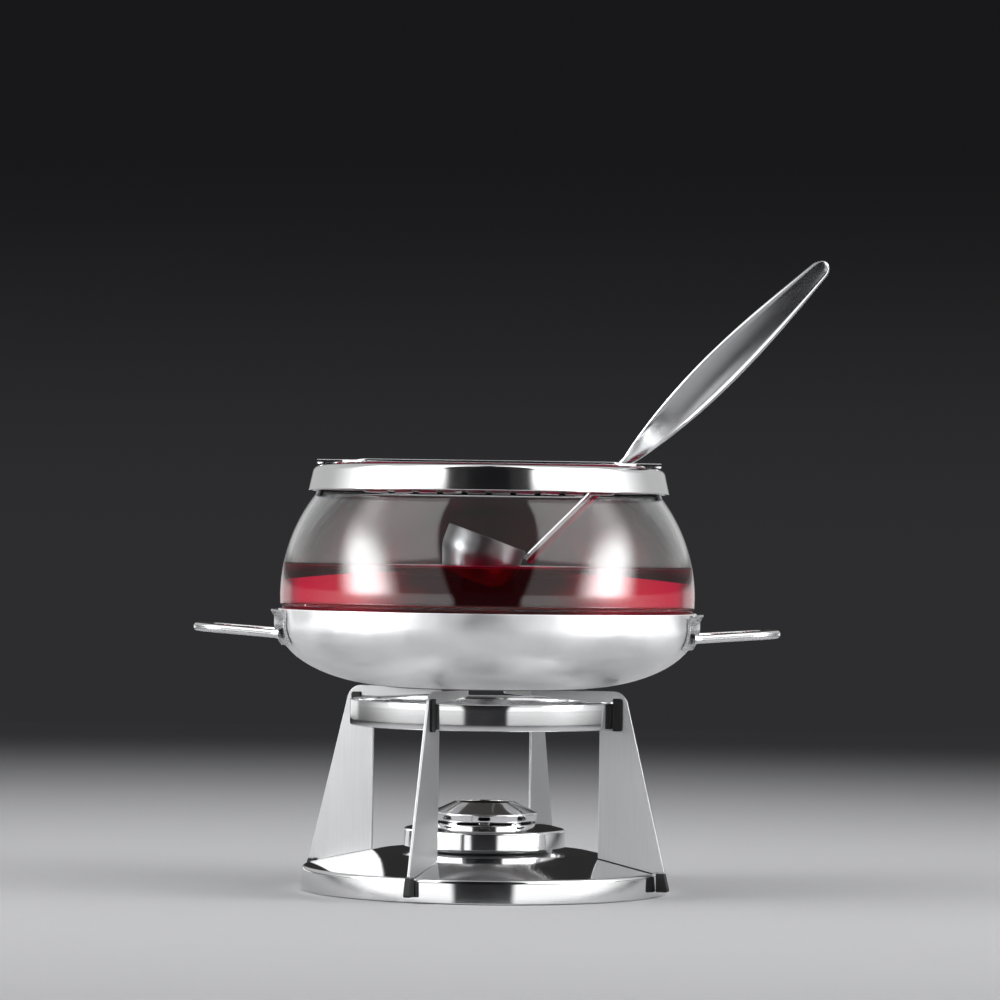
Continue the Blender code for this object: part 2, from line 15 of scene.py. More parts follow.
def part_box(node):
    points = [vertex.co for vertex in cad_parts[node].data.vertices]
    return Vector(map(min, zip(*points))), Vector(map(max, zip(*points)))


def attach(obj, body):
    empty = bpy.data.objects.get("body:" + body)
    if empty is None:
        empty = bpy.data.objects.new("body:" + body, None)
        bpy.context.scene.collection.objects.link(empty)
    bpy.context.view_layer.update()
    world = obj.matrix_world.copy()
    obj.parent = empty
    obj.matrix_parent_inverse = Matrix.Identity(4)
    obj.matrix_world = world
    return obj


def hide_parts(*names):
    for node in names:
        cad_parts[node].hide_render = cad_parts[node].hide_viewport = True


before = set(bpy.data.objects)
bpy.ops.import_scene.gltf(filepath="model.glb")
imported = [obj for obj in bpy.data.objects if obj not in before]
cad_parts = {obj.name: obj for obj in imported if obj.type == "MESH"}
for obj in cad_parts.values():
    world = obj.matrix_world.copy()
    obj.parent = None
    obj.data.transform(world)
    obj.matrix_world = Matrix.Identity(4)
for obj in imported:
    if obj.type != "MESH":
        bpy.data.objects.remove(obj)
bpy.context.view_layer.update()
LOW = {node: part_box(node)[0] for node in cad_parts}
HIGH = {node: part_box(node)[1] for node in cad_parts}

# Mesh fineness
ROUND_STEPS = 160
SMALL_ROUND_STEPS = 112
FILLET_STEPS = 8            # facets in a quarter turn of a fillet
EDGE_STEPS = 4              # facets in a sheet's rounded edge

# Fits
GAP = 0.0003                # air between neighbours
WALL_BITE = 0.0003          # how far the liquid reaches into the walls that it wets

# Stand
TRAY_SHEET = 0.0012
TRAY_LIP_R = 0.1042
TRAY_LIP_Z = 0.0132
TRAY_LIP_FILLET = 0.0025
DECK_R = 0.061
DECK_FILLET = 0.008
PLATE_FILLET = 0.0004
LEG_SHEET = 0.0015
LEG_ANGLES = {"front": 248, "right": 338, "back": 68, "left": 158}
LEG_FOOT = Vector((0.1128, 0.0034))         # where the fin's outer edge line ends, in radius and height
LEG_TOP = Vector((0.0850, 0.1157))
LEG_INNER_R = 0.070
LEG_EDGE = 0.00032
ARM_TIP_R = 0.028
ARM_HEIGHT = 0.0038
TONGUE_R = (0.1066, 0.1090)                 # tongue of the fin that enters its foot clip
TONGUE_BOTTOM_Z = 0.0062
NOTCH_R = 0.0833                            # outer side of the fin's notch round the ring
NOTCH_TOP_Z = 0.1112
RING_SHEET = 0.0015
CLIP_WIDTH = 0.0039
CLIP_CORE = 0.0021
CLIP_LIP = 0.0008
CLIP_EDGE = 0.0004
CLIP_EASE = 0.0001          # what a clip has more than the gap
FOOT_CLIP_TOP_Z = 0.0138

# Burner
BURNER_SHEET = 0.0008
CUP_R = 0.038
COVER_SHOULDER_R = 0.046
NECK_R = 0.0286
COVER_SHOULDER_Z = 0.0353
NECK_BOTTOM_Z = 0.0397
REGULATOR_SHOULDER_Z = 0.0448
FLAME_MOUTH_R = 0.017
WINDOW_COUNT = 8
WINDOW_SIZE = (0.007, 0.0022)
WINDOW_Z = 0.0424
WINDOW_CUTS = (0.010, 0.006)        # depth of the cutters for the neck and for the collar
LEVER_ANGLE = 113
LEVER_WIDTH = 0.008
LEVER_TIP_R = 0.052
WOOL_ROUGH = 0.0007         # how uneven the felted top is
WIRE_PITCH = 0.0021
WIRE_R = 0.00022
GAUZE_EDGE = (0.0022, 0.00025)      # width and half thickness of the pressed edge band

# Pot
BOWL_SHEET = 0.001
BOWL_CENTRE_R = 0.050
BOWL_WIDEST_Z = 0.1515
BOWL_DEPTH = 0.0352
DISC_FILLET = 0.0005
GLASS_ARC_R = 0.096
GLASS_SHEET = 0.003
GLASS_CENTRE = (0.023, 0.168)
GLASS_FOOT_R = 0.1175
GLASS_FOOT_TOP_Z = 0.1606
GLASS_SHOULDER_Z = 0.163
RIM_SHEET = 0.001
RIM_TOP_R = 0.1003
RIM_SHOULDER = 0.0045       # fillet between the rim's skirt and its top
CAP_SEAL_R = 0.091
MOUTH_R = 0.0895
MOUTH_LIP_Z = 0.2345
SEAL_LEDGE_R = 0.1125
BRACKET_HALF_ANGLE = 20
BRACKET_SHEET = 0.0018
BRACKET_GAP = 0.00035
BRACKET_LOW_Z = 0.140
HANDLE_HALF_SPAN = (0.036, 0.024)   # at the bowl and at the outermost bar
HANDLE_FILLET = 0.021
HANDLE_HALF = (0.005, 0.0023)       # half width and half height of the bar
HANDLE_LEVELS = (0.146, 0.149)
HANDLE_EDGE = 0.0018                # rounding of the bar's edges
HANDLE_FLARE = 0.32                 # how much thicker the bar is at its root
HANDLE_FLARE_LENGTH = 0.004
HANDLE_SINK = 0.0015                # how far off the bowl the bar starts
PUNCH_LEVEL_Z = 0.1845
MENISCUS = Vector((0.0022, 0.0016))  # how far in from the glass it reaches, and how high it climbs

# Sugar tongs
TONGS_SHEET = 0.001
TROUGH_HALF_LENGTH = 0.070
TROUGH_HALF_WIDTH = 0.029
TROUGH_DEPTH = 0.018
TROUGH_EDGE_Z = 0.2460
TAB_START_X = 0.084
TAB_HALF_WIDTH = 0.020
TAB_Z = 0.2438
BEAD_R = 0.0014
SLOT_COUNT = 9
SLOT_PITCH = 0.014
SLOT_SIZE = (0.0035, 0.026)
SLOT_CUT = 0.026            # how deep a slot's cutter reaches, half of it up and half down

# Ladle
LADLE_SHEET = 0.0008
LADLE_CUP_R = 0.024
LADLE_CUP_DEPTH = 0.030
LADLE_CUP_CENTRE = Vector((-0.0007, 0.055, 0.2027))
LADLE_TILT = 20
LADLE_FOOT = Vector((0.0229, 0.054, 0.1893))
LADLE_TIP = Vector((0.193, 0.006, 0.363))
LADLE_STEM_LENGTH = 0.084
LADLE_STEM_HALF = (0.0032, 0.0020)
LADLE_TIP_HALF = 0.0048
LADLE_BLADE_SWELL = 0.0068
LADLE_BLADE_SKEW = 0.85     # under 1, the blade is widest past its middle
LADLE_BLADE_THINNING = 0.45
LADLE_BLADE_HOLLOW = 0.0022
LADLE_BEAD = 0.0009
LADLE_BEAD_PLACE = (0.88, 0.08)     # middle and width, in half widths of the blade
LADLE_TIP_ROUND = 0.006
LADLE_BOW = 0.004

# Studio
DOME_R = 2.2
FLOOR_R = 40
FLOOR_FADE = (0.25, 2.0)    # where the pale floor starts to run out, and where it ends
CLOTH_LIGHT = 2.0
SPOT_LIGHT = 14.0
DIM_SHARE = 0.25            # brightness of the dim layer, foot, far sides and strip against the cloth
FOOT_SHARE = 0.62
FAR_SHARE = 0.25
STRIP_SHARE = 0.75
HORIZON = (0.026, 0.026, 0.028)
ZENITH = (0.009, 0.009, 0.010)
ZENITH_RISE = 0.10          # sine of the angle over the horizon from where the backdrop is darkest

# Light tent, in degrees off the front and degrees up; each edge of light from its dark to its bright side
TENT_AZIMUTH = (14, 180)
TENT_ELEVATION = (0.3, 89)
OPENING_AZIMUTH = (15.5, 19.5)
OPENING_LEAN = -0.36        # degrees that the edge moves sideways for each degree up
BACK_AZIMUTH = (172, 160)
BACK_ELEVATION = (54, 66)
FOOT_ELEVATION = (8, 5)
UPPER_ELEVATION = (31, 35)
UPPER_FALL = 0.155          # degrees that the upper layer comes down for each degree round
FAR_AZIMUTH = (125, 70)
STRIP_AZIMUTH = (128, 142)
STRIP_ELEVATION = (9, 6)
SPOT_AZIMUTH = (45, 67.5, 90)       # dark, brightest, dark
SPOT_BEND = -0.013          # degrees that the spot moves sideways for each square degree up
SPOT_BOTTOM = (1, 9)
SPOT_TOP = (42, 22)
SPOT_TAIL = 0.12            # brightness of the spot above its top
SPOT_TAIL_TOP = (62, 50)

# Camera
VIEW_DISTANCE = 2.4
VIEW_AIM = Vector((0.0068, 0, 0.2237))
VIEW_HEIGHT = 0.195
VIEW_ROLL = -0.8
VIEW_LENS = 150.5


# ---------------- outlines

def round_box(node):
    """Outer radius, bottom and top of a round CAD node."""
    return HIGH[node].x, LOW[node].z, HIGH[node].z


def spread(start, end, steps):
    """Evenly spaced values from start to end, both included."""
    return [start + (end - start) * step / steps for step in range(steps + 1)]


def rounded(corners, closed=False, steps=FILLET_STEPS):
    """Path through (x, z, fillet radius) corners with an arc at each one that has a radius."""
    points = []
    count = len(corners)
    for index, (x, z, radius) in enumerate(corners):
        corner = Vector((x, z))
        at_open_end = not closed and index in (0, count - 1)
        if radius == 0 or at_open_end:
            points.append(corner)
            continue
        back = (Vector(corners[index - 1][:2]) - corner).normalized()
        ahead = (Vector(corners[(index + 1) % count][:2]) - corner).normalized()
        half = back.angle(ahead) / 2
        centre = corner + (back + ahead).normalized() * radius / math.sin(half)
        start = corner + back * radius / math.tan(half) - centre
        turn = math.copysign(math.pi - 2 * half, -back.cross(ahead))
        pieces = max(2, round(abs(turn) / (math.pi / 2) * steps))
        points += [centre + Matrix.Rotation(turn * step / pieces, 2) @ start
                   for step in range(pieces + 1)]
    return points


def divided(path, longest):
    """The path with points added so that no segment is longer than asked."""
    points = [path[0]]
    for here, after in zip(path, path[1:]):
        pieces = max(1, math.ceil((after - here).length / longest))
        points += [here.lerp(after, step / pieces) for step in range(1, pieces + 1)]
    return points


def left_normals(path):
    """Unit normal on the left of travel at each point, stretched at bends so that offsets stay even."""
    sides = []
    for here, after in zip(path, path[1:]):
        along = (after - here).normalized()
        sides.append(Vector((-along.y, along.x)))
    normals = []
    for index in range(len(path)):
        first = sides[max(index - 1, 0)]
        second = sides[min(index, len(sides) - 1)]
        middle = (first + second).normalized()
        normals.append(middle / max(middle.dot(first), 0.4))
    return normals


def half_turn(start, end, steps=EDGE_STEPS):
    """Points between two ends, on the half circle to the right of the way from start to end."""
    centre = (start + end) / 2
    arm = start - centre
    return [centre + Matrix.Rotation(math.pi * step / steps, 2) @ arm for step in range(1, steps)]


def sheet_outline(path, sheet):
    """Closed section of a sheet whose outer skin is the path; free edges are rounded."""
    path = [Vector(point) for point in path]
    for end, inner in ((0, 1), (-1, -2)):
        if path[end].x > 1e-6:
            path[end] = path[end] + (path[inner] - path[end]).normalized() * sheet / 2
    inside = [point + normal * sheet for point, normal in zip(path, left_normals(path))]
    outline = list(path)
    for end in (0, -1):
        if path[end].x <= 1e-6:
            inside[end].x = 0
    if path[-1].x > 1e-6:
        outline += half_turn(path[-1], inside[-1])
    outline += inside[::-1]
    if path[0].x > 1e-6:
        outline += half_turn(inside[0], path[0])
    return outline


# ---------------- meshes

def place(name, shape, finish, sharp=50):
    """Object from a bmesh, shaded smooth up to the sharp angle."""
    mesh = bpy.data.meshes.new(name)
    shape.to_mesh(mesh)
    shape.free()
    mesh.shade_smooth()
    mesh.set_sharp_from_angle(angle=math.radians(sharp))
    piece = bpy.data.objects.new(name, mesh)
    bpy.context.scene.collection.objects.link(piece)
    if finish:
        mesh.materials.append(finish)
    return piece


def skin(name, sections, finish, loop=True, ring=False, sharp=50):
    """Surface through matching sections: LOOP closes each section, RING closes the row of them."""
    shape = bmesh.new()
    rows = [[shape.verts.new(point) for point in section] for section in sections]
    for near, far in zip(rows, rows[1:] + rows[:1] if ring else rows[1:]):
        last = len(near) if loop else len(near) - 1
        for here in range(last):
            after = (here + 1) % len(near)
            shape.faces.new((near[here], far[here], far[after], near[after]))
    if loop and not ring:
        shape.faces.new(rows[0])
        shape.faces.new(reversed(rows[-1]))
    bmesh.ops.remove_doubles(shape, verts=shape.verts, dist=1e-7)
    if loop:
        bmesh.ops.recalc_face_normals(shape, faces=shape.faces)
    return place(name, shape, finish, sharp)


def turned(name, outline, finish, steps=ROUND_STEPS, sector=None, sharp=50):
    """Revolve a closed (radius, z) outline about Z, all the way or over (from, to) degrees."""
    first, last = sector or (0, 360)
    angles = [math.radians(angle) for angle in spread(first, last, steps)]
    if sector is None:
        angles.pop()
    sections = [[(point[0] * math.cos(angle), point[0] * math.sin(angle), point[1])
                 for point in outline] for angle in angles]
    return skin(name, sections, finish, ring=sector is None, sharp=sharp)


def plate(name, outline, sheet, finish):
    """Flat sheet in the XZ plane, centred on it, from a closed outline."""
    sections = [[(x, side * sheet / 2, z) for x, z in outline] for side in (-1, 1)]
    return skin(name, sections, finish)


def bevel(piece, width, segments=2, angle=40):
    """Round the piece's sharp edges."""
    modifier = piece.modifiers.new("edges", "BEVEL")
    modifier.width = width
    modifier.segments = segments
    modifier.limit_method = "ANGLE"
    modifier.angle_limit = math.radians(angle)
    return piece


def baked(piece, sharp=40):
    """Apply the piece's modifiers to its mesh."""
    bpy.context.view_layer.update()
    graph = bpy.context.evaluated_depsgraph_get()
    mesh = bpy.data.meshes.new_from_object(piece.evaluated_get(graph), depsgraph=graph)
    piece.modifiers.clear()
    piece.data = mesh
    mesh.shade_smooth()
    mesh.set_sharp_from_angle(angle=math.radians(sharp))
    return piece


def stadium(width, height, steps=6):
    """Closed outline of a slot with round ends, WIDTH along x and HEIGHT along z."""
    long_way = width > height
    radius = min(width, height) / 2
    reach = max(width, height) / 2 - radius
    points = []
    for side in (1, -1):
        for step in range(steps + 1):
            angle = math.pi * step / steps - math.pi / 2
            x, z = (reach + radius * math.cos(angle)) * side, radius * math.sin(angle) * side
            points.append((x, z) if long_way else (-z, x))
    return points


def cut_slots(piece, outline, depth, places):
    """Cut one slot at each placing matrix; a slot runs DEPTH along its own Y."""
    cutters = []
    for index, matrix in enumerate(places):
        cutter = plate(f"cutter_{index}", outline, depth, None)
        cutter.data.transform(matrix)
        cutters.append(cutter)
    joined = bmesh.new()
    for cutter in cutters:
        joined.from_mesh(cutter.data)
        bpy.data.objects.remove(cutter)
    tool = place("cutter", joined, None)
    boolean = piece.modifiers.new("slots", "BOOLEAN")
    boolean.operation = "DIFFERENCE"
    boolean.solver = "EXACT"
    boolean.object = tool
    baked(piece)
    bpy.data.objects.remove(tool)
    return piece


def show(piece, body, *nodes, slot=None):
    """Put the piece on its body, in the place of these CAD nodes, with even normals on flat walls."""
    piece.modifiers.new("normals", "WEIGHTED_NORMAL").keep_sharp = True
    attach(piece, body)
    if nodes:
        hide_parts(*nodes)
    return piece


# ---------------- materials

class Recipe:
    """A Principled material that is put together from texture nodes."""

    def __init__(self, name, **values):
        self.material = bpy.data.materials.new(name)
        self.material.use_nodes = True
        self.tree = self.material.node_tree
        self.shader = self.tree.nodes["Principled BSDF"]
        for socket, value in values.items():
            self.shader.inputs[socket.replace("_", " ")].default_value = value

    def node(self, kind, inputs=None, **settings):
        made = self.tree.nodes.new(kind)
        for name, value in settings.items():
            setattr(made, name, value)
        for socket, value in (inputs or {}).items():
            if isinstance(value, bpy.types.NodeSocket):
                self.tree.links.new(value, made.inputs[socket])
            else:
                made.inputs[socket].default_value = value
        return made

    def place(self, scale=(1, 1, 1)):
        """Object coordinates stretched by a scale for each axis."""
        here = self.node("ShaderNodeTexCoord").outputs["Object"]
        return self.node("ShaderNodeMapping", {"Vector": here, "Scale": scale}).outputs["Vector"]

    def rings(self, scale):
        """Coordinates that are the same all round the Z axis, as a lathe leaves its marks."""
        here = self.node("ShaderNodeTexCoord").outputs["Object"]
        split = self.node("ShaderNodeSeparateXYZ", {"Vector": here})
        flat = self.node("ShaderNodeCombineXYZ", {"X": split.outputs["X"], "Y": split.outputs["Y"]})
        radius = self.node("ShaderNodeVectorMath", {0: flat.outputs[0]}, operation="LENGTH")
        turned_way = self.node("ShaderNodeCombineXYZ", {"X": radius.outputs["Value"],
                                                        "Y": split.outputs["Z"]})
        return self.node("ShaderNodeMapping", {"Vector": turned_way.outputs[0],
                                               "Scale": (scale, scale, scale)}).outputs["Vector"]

    def noise(self, where, scale=1.0, detail=4.0, roughness=0.55, distortion=0.0):
        return self.node("ShaderNodeTexNoise", {
            "Vector": where, "Scale": scale, "Detail": detail, "Roughness": roughness,
            "Distortion": distortion}).outputs["Fac"]

    def between(self, factor, low, high, start=0.3, end=0.7):
        """Number that runs from LOW to HIGH as the factor runs from start to end."""
        return self.node("ShaderNodeMapRange", {
            "Value": factor, "From Min": start, "From Max": end, "To Min": low,
            "To Max": high}).outputs["Result"]

    def colours(self, factor, low, high, start=0.3, end=0.7):
        ramp = self.node("ShaderNodeValToRGB", {"Fac": factor})
        for element, position, colour in zip(ramp.color_ramp.elements, (start, end), (low, high)):
            element.position = position
            element.color = (*colour, 1)
        return ramp.outputs["Color"]

    def maths(self, operation, *values):
        """Result of one Math node."""
        return self.node("ShaderNodeMath", dict(enumerate(values)), operation=operation).outputs[0]

    def sum(self, first, second, share=1.0):
        return self.maths("ADD", first, self.maths("MULTIPLY", second, share))

    def bump(self, height, strength, distance):
        made = self.node("ShaderNodeBump", {"Height": height, "Strength": strength,
                                            "Distance": distance})
        self.tree.links.new(made.outputs["Normal"], self.shader.inputs["Normal"])

    def feed(self, socket, value):
        self.tree.links.new(value, self.shader.inputs[socket])


def polished_steel(name, gloss, lathe=0.05):
    """Mirror-polished sheet: faint polishing rings, haze from handling, a few hairline scratches."""
    make = Recipe(name, Metallic=1.0)
    haze = make.noise(make.place(), scale=38, detail=6, roughness=0.62, distortion=0.6)
    rings = make.noise(make.rings(2600), detail=3, roughness=0.7)
    fine = make.noise(make.place(), scale=900, detail=3)
    make.feed("Base Color", make.colours(haze, (0.80, 0.805, 0.815), (0.86, 0.86, 0.865)))
    rough = make.between(haze, gloss * 0.75, gloss * 1.35)
    make.feed("Roughness", make.sum(rough, make.between(rings, 0, gloss * 0.5)))
    make.bump(make.sum(rings, fine, 0.35), lathe, 0.00003)
    return make.material


def brushed_steel(name, colour, rough, around=False, stretch=(2200, 2200, 26), depth=0.12):
    """Steel with a grain: straight along local Z, or in rings round the Z axis."""
    make = Recipe(name, Metallic=1.0)
    where = make.rings(3400) if around else make.place(stretch)
    grain = make.noise(where, detail=5, roughness=0.72)
    haze = make.noise(make.place(), scale=30, detail=5, distortion=0.4)
    dark = tuple(part * 0.86 for part in colour)
    make.feed("Base Color", make.colours(make.sum(grain, haze, 0.25), dark, colour, 0.35, 0.85))
    make.feed("Roughness", make.sum(make.between(grain, rough * 0.8, rough * 1.2), haze, 0.06))
    make.bump(grain, depth, 0.00006)
    return make.material


def clear_glass():
    """Clear borosilicate: a trace of waviness from blowing and a breath of haze."""
    make = Recipe("clear_glass", Transmission_Weight=1.0, IOR=1.47, Base_Color=(0.985, 0.995, 0.992, 1),
                  Specular_IOR_Level=0.15)
    waves = make.noise(make.place((1, 1, 0.5)), scale=14, detail=2)
    smear = make.noise(make.place((1, 1, 2.2)), scale=46, detail=6, roughness=0.66, distortion=0.8)
    make.feed("Roughness", make.between(smear, 0.0, 0.035, 0.45, 0.8))
    make.bump(waves, 0.035, 0.0006)
    return make.material


def red_punch():
    """Clear red liquid: bright where it is thin, nearly black through the whole pot."""
    make = Recipe("red_punch", Transmission_Weight=1.0, IOR=1.34, Roughness=0.0,
                  Base_Color=(1, 0.9, 0.92, 1), Specular_IOR_Level=0.3)
    ripple = make.noise(make.place((1, 1, 0.2)), scale=60, detail=3)
    make.bump(ripple, 0.04, 0.0004)
    absorb = make.node("ShaderNodeVolumeAbsorption",
                       {"Color": (0.93, 0.03, 0.57, 1), "Density": 42.0})
    make.tree.links.new(absorb.outputs[0], make.tree.nodes["Material Output"].inputs["Volume"])
    return make.material


def silicone(name, dark, dusty):
    """Dark moulded silicone with a fine matte skin and a little dust."""
    make = Recipe(name, IOR=1.41, Specular_IOR_Level=0.4)
    grain = make.noise(make.place(), scale=2600, detail=3)
    dust = make.noise(make.place(), scale=240, detail=7, roughness=0.7)
    make.feed("Base Color", make.colours(dust, dark, dusty, 0.4, 0.8))
    make.feed("Roughness", make.between(dust, 0.42, 0.62))
    make.bump(grain, 0.25, 0.00005)
    return make.material


def fibre_wool():
    """Matted mineral fibre, yellowed and a little scorched on top."""
    make = Recipe("fuel_wool", Roughness=0.95, Sheen_Weight=0.3)
    strands = make.noise(make.place(), scale=900, detail=8, roughness=0.75, distortion=3.0)
    scorch = make.noise(make.place(), scale=70, detail=5)
    make.feed("Base Color", make.colours(make.sum(strands, scorch, 0.5), (0.30, 0.26, 0.20),
                                         (0.82, 0.79, 0.70), 0.45, 0.95))
    make.bump(strands, 0.9, 0.0006)
    return make.material


def pale_floor():
    """Plain pale studio floor that runs out into the backdrop's tone far behind the object."""
    make = Recipe("studio_floor", Roughness=0.5, Specular_IOR_Level=0.0)
    here = make.node("ShaderNodeTexCoord").outputs["Object"]
    distance = make.node("ShaderNodeVectorMath", {0: here}, operation="LENGTH").outputs["Value"]
    fade = step_between(make, distance, *FLOOR_FADE)
    make.feed("Base Color", make.colours(fade, (0.38, 0.38, 0.39), (0.004, 0.004, 0.004), 0, 1))
    make.feed("Emission Color", make.colours(fade, (0, 0, 0), HORIZON, 0, 1))
    make.shader.inputs["Emission Strength"].default_value = 1.0
    return make.material


RIM_STEEL = polished_steel("polished_steel_rim", 0.085)
BOWL_STEEL = polished_steel("satin_steel_bowl", 0.36, lathe=0.08)
TRAY_STEEL = polished_steel("polished_steel_tray", 0.06)
BURNER_STEEL = polished_steel("polished_steel_burner", 0.07, lathe=0.07)
TONGS_STEEL = polished_steel("polished_steel_tongs", 0.10)
HANDLE_STEEL = polished_steel("polished_steel_handles", 0.12, lathe=0.01)
LEG_STEEL = brushed_steel("satin_steel_legs", (0.50, 0.505, 0.51), 0.33)
BLADE_STEEL = brushed_steel("satin_steel_ladle", (0.58, 0.585, 0.595), 0.18, stretch=(24, 2600, 2600),
                            depth=0.04)
# Painted shade: the ladle's cup is coloured much darker than its blade, for the cup's dim look inside the
# glass pot
SHADED_CUP_STEEL = brushed_steel("satin_steel_cup_painted_shade", (0.30, 0.305, 0.315), 0.30, around=True, depth=0.05)
DISC_STEEL = brushed_steel("brushed_steel_turned", (0.66, 0.66, 0.665), 0.34, around=True)
# Painted shade: near-black steel for the pot's base disc, standing in for the shade under the pot
SHADED_BASE_DISC_STEEL = brushed_steel("brushed_steel_disc_painted_shade", (0.17, 0.16, 0.15), 0.36, around=True)
BRACKET_STEEL = brushed_steel("brushed_steel_brackets", (0.74, 0.745, 0.75), 0.24,
                              stretch=(60, 60, 2400))
WIRE_STEEL = brushed_steel("brushed_steel_wire", (0.52, 0.50, 0.47), 0.38, stretch=(900, 900, 900))
GLASS = clear_glass()
PUNCH = red_punch()
SEAL = silicone("seal_silicone", (0.018, 0.018, 0.020), (0.055, 0.055, 0.058))
CLIP_BLACK = silicone("clip_silicone", (0.006, 0.006, 0.007), (0.022, 0.022, 0.023))
WOOL = fibre_wool()


# ---------------- stand

def build_tray():
    radius, foot_z, deck_z = round_box("base_tray")
    tray = rounded([(radius, foot_z, 0), (TRAY_LIP_R, TRAY_LIP_Z, TRAY_LIP_FILLET),
                    (DECK_R, deck_z, DECK_FILLET), (0, deck_z, 0)])
    show(turned("base_tray_fine", sheet_outline(tray, TRAY_SHEET), TRAY_STEEL), "stand", "base_tray")


def build_disc(name, fillet, finish, body):
    """Flat round plate with rounded edges that fills its CAD node's box."""
    radius, low, high = round_box(name)
    outline = rounded([(0, low, 0), (radius, low, fillet), (radius, high, fillet), (0, high, 0)], steps=3)
    show(turned(name + "_fine", outline, finish), body, name)


def build_support_ring():
    outer, low, high = round_box("support_ring")
    band = sheet_outline(divided([Vector((outer, low)), Vector((outer, high))], 0.004), RING_SHEET)
    show(turned("support_ring_fine", band, TRAY_STEEL), "stand", "support_ring")


def on_leg_edge(height):
    """Radius of the fin's outer edge line at a height."""
    return LEG_FOOT.lerp(LEG_TOP, (height - LEG_FOOT.y) / (LEG_TOP.y - LEG_FOOT.y)).x


def leg_outline():
    """The fin from its foot clip to the arm under the pot, notched round the ring and its clip."""
    tray_r, deck_z = HIGH["base_tray"].x, HIGH["base_tray"].z
    ring_r, ring_low, ring_high = round_box("support_ring")
    shoulder_z = FOOT_CLIP_TOP_Z + GAP
    slope = (deck_z - TRAY_LIP_Z) / (tray_r - DECK_R)
    return rounded([
        (TONGUE_R[0], TONGUE_BOTTOM_Z, 0.0006), (TONGUE_R[1], TONGUE_BOTTOM_Z, 0.0006),
        (TONGUE_R[1], shoulder_z, 0), (on_leg_edge(shoulder_z), shoulder_z, 0.0006),
        (*LEG_TOP, 0.009), (ARM_TIP_R, LEG_TOP.y, 0.0015),
        (ARM_TIP_R, LEG_TOP.y - ARM_HEIGHT, 0.0015), (LEG_INNER_R - 0.005, ring_high + GAP, 0.004),
        (ring_r, ring_high + GAP, 0), (ring_r, NOTCH_TOP_Z, 0), (NOTCH_R, NOTCH_TOP_Z, 0.0015),
        (NOTCH_R, ring_low - GAP, 0.0015), (LEG_INNER_R, ring_low - GAP, 0.001),
        (LEG_INNER_R, TRAY_LIP_Z + (tray_r - LEG_INNER_R) * slope + GAP, 0),
        (tray_r - 0.0008, TRAY_LIP_Z + GAP, 0), (tray_r - 0.0002, shoulder_z, 0),
        (TONGUE_R[0], shoulder_z, 0),
    ], closed=True)


def ring_clip_outline(lip):
    inner = HIGH["support_ring"].x + GAP + CLIP_EASE
    outer = NOTCH_R - GAP + lip
    low, high = LOW["support_ring"].z - lip, NOTCH_TOP_Z - GAP + lip
    return rounded([(inner, low, 0.0004), (outer, low, 0.0015), (outer, high, 0.0015),
                    (inner, high, 0.0004)], closed=True)


def foot_clip_outline(pocket_z):
    inner = HIGH["base_tray"].x + GAP + CLIP_EASE
    near, far = TONGUE_R[0] - GAP, TONGUE_R[1] + GAP
    top = FOOT_CLIP_TOP_Z
    return rounded([
        (inner, LEG_FOOT.y, 0.0008), (*LEG_FOOT, 0.0012), (on_leg_edge(top), top, 0), (far, top, 0),
        (far, pocket_z, 0), (near, pocket_z, 0), (near, top, 0), (inner, top, 0)], closed=True)


def clip(name, cheek, core, angle):
    """Moulded clip: a core between the fin's edges and a cheek on each of its faces."""
    layers = ((-CLIP_WIDTH, cheek), (-CLIP_CORE, cheek), (-CLIP_CORE, core), (CLIP_CORE, core),
              (CLIP_CORE, cheek), (CLIP_WIDTH, cheek))
    piece = skin(name + "_fine", [[(x, y / 2, z) for x, z in outline] for y, outline in layers], CLIP_BLACK)
    piece.rotation_euler.z = math.radians(angle)
    bevel(piece, CLIP_EDGE, segments=3, angle=50)
    show(piece, "stand", name)


def build_leg(side, angle):
    fin = plate(f"leg_{side}_fine", leg_outline(), LEG_SHEET, LEG_STEEL)
    fin.rotation_euler.z = math.radians(angle)
    bevel(fin, LEG_EDGE, segments=3, angle=50)
    show(fin, "stand", f"leg_{side}")
    clip(f"ring_clip_{side}", ring_clip_outline(CLIP_LIP), ring_clip_outline(0), angle)
    clip(f"foot_clip_{side}", foot_clip_outline(FOOT_CLIP_TOP_Z),
         foot_clip_outline(TONGUE_BOTTOM_Z - GAP), angle)


# ---------------- burner

def window_places(radius):
    return [Matrix.Rotation(2 * math.pi * index / WINDOW_COUNT, 4, "Z")
            @ Matrix.Translation((radius, 0, WINDOW_Z)) @ Matrix.Rotation(math.pi / 2, 4, "Z")
            for index in range(WINDOW_COUNT)]


def build_cup():
    rim_r, low, high = round_box("burner_cup")
    flange_z = high - BURNER_SHEET
    cup = rounded([(0, low, 0), (CUP_R, low, 0.003), (CUP_R, flange_z, 0.0008), (rim_r, flange_z, 0)])
    show(turned("burner_cup_fine", sheet_outline(cup, BURNER_SHEET), DISC_STEEL, SMALL_ROUND_STEPS),
         "burner", "burner_cup")


def build_cover():
    skirt_r, low, neck_top = round_box("burner_cover")
    cover = rounded([(skirt_r, low, 0), (COVER_SHOULDER_R, COVER_SHOULDER_Z, 0.0015),
                     (NECK_R, NECK_BOTTOM_Z, 0.001), (NECK_R, neck_top, 0)])
    cover = turned("burner_cover_fine", sheet_outline(cover, BURNER_SHEET), BURNER_STEEL,
                   SMALL_ROUND_STEPS)
    cut_slots(cover, stadium(*WINDOW_SIZE), WINDOW_CUTS[0], window_places(NECK_R))
    show(cover, "burner_top", "burner_cover")


